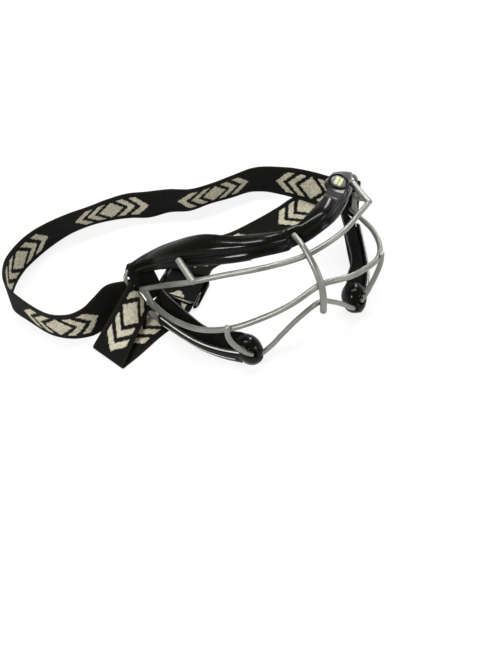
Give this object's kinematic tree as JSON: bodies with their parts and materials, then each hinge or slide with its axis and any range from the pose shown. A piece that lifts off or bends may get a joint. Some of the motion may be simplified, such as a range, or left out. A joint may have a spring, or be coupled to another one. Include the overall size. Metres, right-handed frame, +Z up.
{
  "type": "lacrosse goggles",
  "caption": "Women's lacrosse goggles: wire cage welded under a padded brow bar, padded cheek pieces on round feet, and an elastic woven strap with a slider.",
  "frame": {"origin": "middle of the bounding box at table height", "axes": "+X towards the wearer's left as the goggles face the viewer, along the strap and the brow bar; +Y back towards the wearer; +Z up from the table"},
  "size_m": [0.246, 0.1732, 0.082],
  "materials": {
    "shell": "glossy moulded black",
    "foam": "matte black closed-cell foam",
    "wire": "satin silver-grey wire",
    "webbing": "black elastic webbing with a woven beige motif",
    "badge_face": "dark disc with a plain pale ring"
  },
  "bodies": {
    "goggles": {"brow_shell": "shell", "badge_disc": "badge_face", "nose_bar": "wire", "nose_wire": "wire", "strap": "webbing", "brow_pad_right": "foam", "brow_pad_left": "foam", "upper_wire_right": "wire", "upper_wire_left": "wire", "lower_wire_right": "wire", "lower_wire_left": "wire", "upper_post_right": "wire", "upper_post_left": "wire", "cheek_strut_right": "wire", "cheek_strut_left": "wire", "strut_collar_right": "shell", "strut_collar_left": "shell", "temple_loop_right": "wire", "temple_loop_left": "wire", "temple_link_rear_right": "wire", "temple_link_rear_left": "wire", "temple_link_front_right": "wire", "temple_link_front_left": "wire", "cheek_foot_right": "shell", "cheek_foot_left": "shell", "cheek_shell_right": "shell", "cheek_shell_left": "shell", "cheek_pad_right": "foam", "cheek_pad_left": "foam", "temple_pad_right": "foam", "temple_pad_left": "foam"},
    "slider": {"strap_slider": "shell"}
  },
  "joints": [
    {"name": "slider_slide", "type": "slide", "parent": "goggles", "child": "slider", "axis": [0.7878, 0.6159, 0], "range_m": [-0.004, 0.004]}
  ]
}
